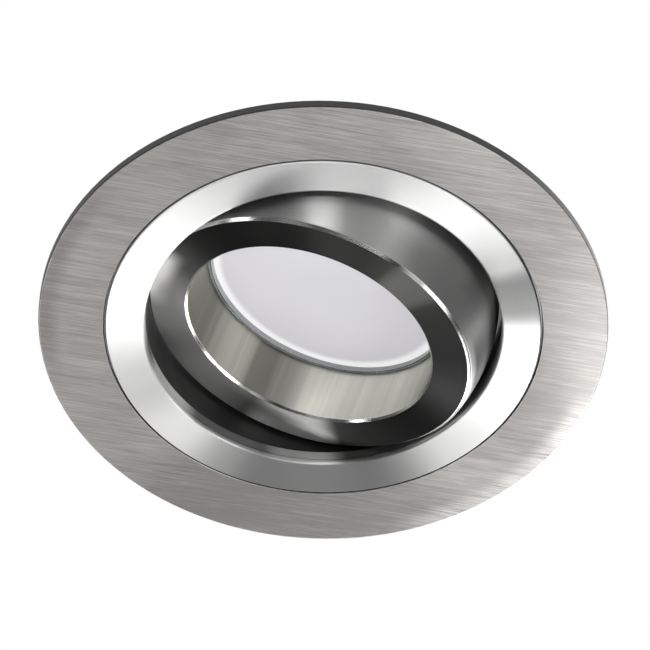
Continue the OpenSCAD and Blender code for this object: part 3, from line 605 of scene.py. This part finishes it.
def grained(name, dark, light, roughness, turned, stretch=(500, 6000, 6000)):
    """A metal whose grain is drawn out along its own X axis by the stretch, in turns per metre."""
    finish = Finish(name, metallic=1)
    lines = finish.noise(finish.place(turned=turned, scale=stretch), 1, 3, 0.6)
    clouds = finish.noise(finish.place(), 260, 2, 0.5)
    finish.give({
        "Base Color": finish.mix((lines * 0.5 + clouds * 0.5).over(0.5, 0.6), dark, light),
        "Roughness": clouds.over(0.5, 0.4).spread(roughness - 0.06, roughness + 0.08),
    })
    finish.bump(lines, 0.35, 0.02 * MM)
    return finish


STRIP = (0.50, 0.50, 0.49), (0.70, 0.70, 0.69)
ZINC = (0.52, 0.54, 0.57), (0.74, 0.75, 0.77)
SPRING = (0.40, 0.40, 0.40), (0.62, 0.62, 0.61)
SHEET_BRASS = (0.52, 0.36, 0.14), (0.80, 0.62, 0.30)
BAR_BRASS = (0.60, 0.43, 0.18), (0.84, 0.66, 0.34)
NICKEL = (0.62, 0.60, 0.56), (0.78, 0.76, 0.72)
for name, (dark, light), roughness, turned, *pieces in (
    ("rolled_strip", STRIP, 0.3, ALONG_CLIP, "clip_arm_left", "clip_arm_right"),
    ("zinc_plate", ZINC, 0.28, ALONG_CLIP, "clip_pin_left", "clip_pin_right"),
    ("zinc_screw", ZINC, 0.28, STRAIGHT, "pivot_screw_left", "pivot_screw_right", "lampholder_screws"),
    ("bright_spring_wire", SPRING, 0.24, ALONG_LAMP, "lamp_circlip"),
    ("stamped_brass", SHEET_BRASS, 0.27, STRAIGHT, "earth_tag", "lampholder_contacts"),
    ("turned_brass", BAR_BRASS, 0.22, STRAIGHT, "earth_screw"),
    ("nickel_pin", NICKEL, 0.2, STRAIGHT, "lamp_pins"),
):
    dress(grained(name, dark, light, roughness, turned), *pieces)
spun = grained("spun_aluminium", (0.62, 0.62, 0.62), (0.82, 0.82, 0.82), 0.55, STRAIGHT, (900, 900, 5200))
dress(spun, "lamp_heatsink")
spring_wire = grained("drawn_spring_wire", (0.34, 0.34, 0.34), (0.58, 0.57, 0.56), 0.27, ALONG_CLIP)

# %% [markdown]
# ## The lamp's electronics
#
# The diodes sit under the frosted disc on a white board, each a yellow phosphor pad in a pale
# frame. The driver's board is green, with a faint grid of tracks. One set of bars repeats along X
# and one along Z, and each bar is the part of its repeat that is over a limit.

# %% Boards and diodes
TRACK_PITCH, LAYER_PITCH = 1.6 * MM, 2.1 * MM

dress(mottled("white_solder_mask", (0.78, 0.78, 0.76), (0.88, 0.88, 0.86), 0.4, 0.3 * MM, 0.005 * MM),
      "led_board")
dress(mottled("yellow_phosphor", (0.80, 0.62, 0.10), (0.92, 0.78, 0.22), 0.5, 0.2 * MM, 0.01 * MM),
      "led_chips")
tracks = Finish("green_circuit", roughness=0.35)
x, _, z = tracks.parts(tilt_place(tracks))
bars = x.cycle(TRACK_PITCH).over(0.7, 0.1) * 0.5 + z.cycle(LAYER_PITCH).over(0.75, 0.1) * 0.5
tracks.give({"Base Color": tracks.mix(bars, (0.02, 0.16, 0.07), (0.06, 0.30, 0.13))})
dress(tracks, "lamp_driver")

# %% [markdown]
# ## The legs of a clip spring
#
# A torsion spring is turns of wire round the hinge pin, with a straight leg at each end: one leans
# on the casting and the other presses the arm. A leg is the end face of the coil, extruded from
# place to place and turned square to its way at each bend, so that the wire stays round.

# %% Grow a leg
CUT_EDGE = 0.12 * MM


def grow(bm, face, places):
    """Extrudes a wire's end face through the places, turning it square to the way it goes."""
    for bend, place in enumerate(places):
        middle = face.calc_center_median()
        way = (place - middle).normalized()
        ahead = (places[bend + 1] - place).normalized() if bend + 1 < len(places) else way
        face = bmesh.ops.extrude_discrete_faces(bm, faces=[face])["faces"][0]
        turn = face.normal.rotation_difference((way + ahead).normalized()).to_matrix()
        for vert in face.verts:
            vert.co = turn @ (vert.co - middle) + place
        face.normal_update()
    bmesh.ops.bevel(bm, geom=face.edges[:], affect="EDGES", offset=CUT_EDGE, segments=2, profile=0.5,
                    material=-1)


print("a leg's cut end is broken by", round(CUT_EDGE / MM, 2), "mm")

# %% [markdown]
# ## The coil of a clip spring
#
# The real spring is wound on a mandrel, and the spin operator does the same: it sweeps a round
# section about the pin and moves it along a little at each step. The spring is wound about the
# origin, then moved to the hinge and turned to its clip, so that its object stays at the origin.

# %% Wind the springs
HINGE = Vector((37.0, 0, 7.0)) * MM
COIL_RADIUS = 1.75 * MM
WIRE_RADIUS = 0.45 * MM
WIRE_SIDES = 14
COIL_HALF = 2.4 * MM
TURNS = 3.25
STEPS_PER_TURN = 28
FIXED_LEG = [Vector((-2.6, -2.4, -4.5)) * MM]
MOVING_LEG = [Vector((3.3, 2.4, 2.1)) * MM, Vector((8.1, 2.4, 2.1)) * MM]


def new_object(name, bm):
    """An object at the origin from a finished bmesh."""
    mesh = bpy.data.meshes.new(name)
    bm.to_mesh(mesh)
    bm.free()
    made = bpy.data.objects.new(name, mesh)
    bpy.context.collection.objects.link(made)
    return made


def wind_spring(name, azimuth):
    """A torsion spring round the hinge pin of the clip at an azimuth, and the pin's two ends."""
    bm = bmesh.new()
    section = bmesh.ops.create_circle(
        bm, cap_ends=True, radius=WIRE_RADIUS, segments=WIRE_SIDES)["verts"]
    bmesh.ops.translate(bm, vec=(-COIL_RADIUS, -COIL_HALF, 0), verts=section)
    steps = round(TURNS * STEPS_PER_TURN)
    bmesh.ops.spin(bm, geom=bm.faces[:], cent=(0, 0, 0), axis=(0, 1, 0),
                   dvec=(0, 2 * COIL_HALF / steps, 0), angle=math.radians(360 * TURNS), steps=steps)
    bmesh.ops.recalc_face_normals(bm, faces=bm.faces)
    ends = sorted((face for face in bm.faces if len(face.verts) > 4),
                  key=lambda face: face.calc_center_median().y)
    print(name, "ends", [tuple(round(c / MM, 2) for c in end.calc_center_median()) for end in ends])
    grow(bm, ends[0], FIXED_LEG)
    grow(bm, ends[-1], MOVING_LEG)
    bmesh.ops.recalc_face_normals(bm, faces=bm.faces)
    bmesh.ops.translate(bm, vec=HINGE, verts=bm.verts)
    turn = Matrix.Rotation(azimuth, 3, "Z")
    bmesh.ops.rotate(bm, matrix=turn, verts=bm.verts)
    for face in bm.faces:
        face.smooth = True
    print(name, "faces", len(bm.faces), "open edges", sum(not edge.is_manifold for edge in bm.edges))
    made = new_object(name, bm)
    made.data.materials.append(spring_wire.material)
    return made, [turn @ (HINGE + Vector((0, y, 0))) for y in (-COIL_HALF, COIL_HALF)]


for side, azimuth in (("right", CLIP_AZIMUTH), ("left", CLIP_AZIMUTH + math.pi)):
    spring, pin = wind_spring("wound_spring_" + side, azimuth)
    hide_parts("clip_spring_" + side)
    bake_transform(spring)

# %% [markdown]
# ## The soffit board and the floor
#
# The light is photographed in a white soffit: the lamp, the clips and the casting are above the
# board, out of sight. The board here is a wide flat sheet with the cut-out in it, and the floor is
# another far below it. Both are flat rings, made by extruding a circle's edge and scaling what
# came of it.

# %% Flat rings
BOARD_HOLE, BOARD_RADIUS, BOARD_Z = 44 * MM, 1.2, 0.05 * MM
FLOOR_HOLE, FLOOR_RADIUS, FLOOR_Z = 5 * MM, 3, -2.4


def flat_ring(name, inner, outer, z):
    """A flat ring at height z, from the inner radius to the outer one, which faces down."""
    bm = bmesh.new()
    rim = bmesh.ops.create_circle(bm, radius=inner, segments=96)["verts"]
    edges = list({edge for vert in rim for edge in vert.link_edges})
    grown = bmesh.ops.extrude_edge_only(bm, edges=edges)["geom"]
    moved = [item for item in grown if isinstance(item, bmesh.types.BMVert)]
    bmesh.ops.scale(bm, vec=Vector((outer / inner, outer / inner, 1)), verts=moved)
    bmesh.ops.translate(bm, vec=(0, 0, z), verts=bm.verts)
    bmesh.ops.recalc_face_normals(bm, faces=bm.faces)
    if bm.faces[:][0].normal.z > 0:
        bmesh.ops.reverse_faces(bm, faces=bm.faces)
    return new_object(name, bm)


board = flat_ring("soffit_board", BOARD_HOLE, BOARD_RADIUS, BOARD_Z)
floor = flat_ring("pale_floor", FLOOR_HOLE, FLOOR_RADIUS, FLOOR_Z)
print("board down-facing:", board.data.polygons[0].normal.z < 0)

# %% [markdown]
# ## White where it is looked at
#
# A white background must not come from more light on the object. The Light Path node tells which
# kind of ray asks: the camera's, a mirror's and a glass's get plain white, and the rays that carry
# light get something else. For the board that is nothing at all, so it casts no shadow on the
# light's back, and its white shows from below only. The floor is ordinary pale paint to them.

# %% Backdrop finishes
def plain_sight(graph):
    """1 for rays from the camera, off mirrors and through glass, and 0 for the rest."""
    path = graph.tree.nodes.new("ShaderNodeLightPath")
    seen, mirrored, through = (
        Signal(graph, path.outputs[ray]) for ray in ("Is Camera Ray", "Is Glossy Ray", "Is Transmission Ray"))
    return seen.either(mirrored).either(through)


def backdrop(name, seen, unseen="ShaderNodeBsdfTransparent", one_sided=False, **sockets):
    """A material that shows a colour to the camera, mirrors and glass, and unseen to the rest."""
    finish = Finish(name)
    shown = plain_sight(finish)
    if one_sided:
        shown = shown * (1 - finish.node("ShaderNodeNewGeometry", out="Backfacing"))
    white = finish.node("ShaderNodeEmission", {}, {"Color": seen, "Strength": 1})
    other = finish.node(unseen, {}, sockets)
    finish.surface(finish.node("ShaderNodeMixShader", {}, {0: shown, 1: other, 2: white}))
    return finish


board.data.materials.append(backdrop("board_white", (1, 1, 1), one_sided=True).material)
paint = backdrop("floor_paint", (0.92, 0.92, 0.92), "ShaderNodeBsdfDiffuse", Color=(0.85, 0.85, 0.85))
floor.data.materials.append(paint.material)
print("backdrops:", board.active_material.name, floor.active_material.name)

# %% [markdown]
# ## The room
#
# The world works the same way: full white to the camera, mirrors and glass, and a lower level as
# the soft light of the room. The Standard view keeps a strength of 1 as white.

# %% World
ROOM_LEVEL = 0.45

world = bpy.data.worlds.new("room")
bpy.context.scene.world = world
world.use_nodes = True
room = Graph(world.node_tree)
sky = world.node_tree.nodes["Background"]
room.plug(sky.inputs["Color"], (1, 1, 1))
room.plug(sky.inputs["Strength"], plain_sight(room).spread(ROOM_LEVEL, 1))
bpy.context.scene.view_settings.view_transform = "Standard"
print("room level", ROOM_LEVEL)

# %% [markdown]
# ## The grey tent
#
# Polished metal is as dark or as bright as what stands round it. The photograph shows reflections
# of a place that was dim between its lamps, so a dim grey bowl hangs under the light. Only
# reflections see it: the camera, the shadows and the soft light pass it by.

# %% A bowl round the light
TENT_RADIUS, TENT_LEVEL = 1.7, 0.055
TENT_TOP = -0.03


def bowl(name, radius, strength):
    """A glowing bowl below the light, open at the top, which polished metal alone sees."""
    bm = bmesh.new()
    bmesh.ops.create_icosphere(bm, subdivisions=5, radius=radius)
    bmesh.ops.bisect_plane(bm, geom=bm.verts[:] + bm.edges[:] + bm.faces[:],
                           plane_co=(0, 0, TENT_TOP * radius), plane_no=(0, 0, 1), clear_outer=True)
    bmesh.ops.reverse_faces(bm, faces=bm.faces)
    made = new_object(name, bm)
    finish = Finish(name)
    finish.surface(finish.node("ShaderNodeEmission", {}, {"Color": (1, 1, 1), "Strength": strength}))
    made.data.materials.append(finish.material)
    made.visible_camera = made.visible_transmission = False
    made.visible_diffuse = made.visible_shadow = False


bowl("grey_tent", TENT_RADIUS, TENT_LEVEL)
print("tent radius", TENT_RADIUS, "m, level", TENT_LEVEL)

# %% [markdown]
# ## The lamps
#
# A softbox is an area light. Each one stands where a bright fan, a line or a glint of the
# photograph reflects it, found by mirroring the view in that surface. Its radiance, and not its
# power, is what a mirror shows, so the power is worked out from the radiance and the area. The
# two cards are small and stand close to the face, one below its near side and one at its edge.

# %% Soft boxes
def softbox(name, azimuth, elevation, distance, width, height, radiance, spin=0, about=(0, 0, 0)):
    """An area light that looks at a place in mm from a direction in degrees, as bright as radiance."""
    lamp = bpy.data.lights.new(name, "AREA")
    lamp.shape = "RECTANGLE"
    lamp.size, lamp.size_y = width, height
    lamp.energy = radiance * math.pi * width * height
    made = bpy.data.objects.new(name, lamp)
    bpy.context.collection.objects.link(made)
    a, e = math.radians(azimuth), math.radians(elevation)
    way = Vector((math.cos(a) * math.cos(e), math.sin(a) * math.cos(e), math.sin(e)))
    turned = way.to_track_quat("Z", "Y").to_matrix() @ Matrix.Rotation(math.radians(spin), 3, "Z")
    made.matrix_world = Matrix.Translation(way * distance + Vector(about) * MM) @ turned.to_4x4()
    made.visible_camera = False
    print(name, "power", round(lamp.energy, 2), "W")


STAND_DISTANCE = 1.2
for name, azimuth, elevation, width, height, radiance, spin in (
    ("key_strip", 7.3, -22.3, 1.01, 0.57, 5.03, 78.2),
    ("left_box", -76.3, -57.1, 0.45, 0.37, 7.46, -22.7),
    ("right_strip", 51.3, -43.8, 0.72, 0.12, 2.46, -87.3),
    ("near_strip", -8.7, -60.7, 0.62, 0.12, 7.07, 178.0),
    ("far_strip", 24.4, -13.9, 0.60, 0.16, 8.22, -42.5),
    ("rear_box", -208.3, -54.8, 0.28, 0.19, 0.92, -50.4),
    ("high_strip", 66.5, -46.5, 0.42, 0.08, 11.23, -52.4),
    ("back_box", 138, -26.7, 0.2, 0.21, 4.2, 0),
    ("side_box", -42, -49, 0.24, 0.2, 2.4, 0),
    ("wall_strip", -152, -18, 0.35, 0.16, 6.5, 0),
):
    softbox(name, azimuth, elevation, STAND_DISTANCE, width, height, radiance, spin)
softbox("down_card", 14, -82, 0.2, 0.06, 0.06, 3.6, about=(-32, -18, -1.7))
softbox("edge_card", 30.8, -49.4, 0.032, 0.012, 0.062, 1.8, about=(47.5, -33, -1.7))

# %% [markdown]
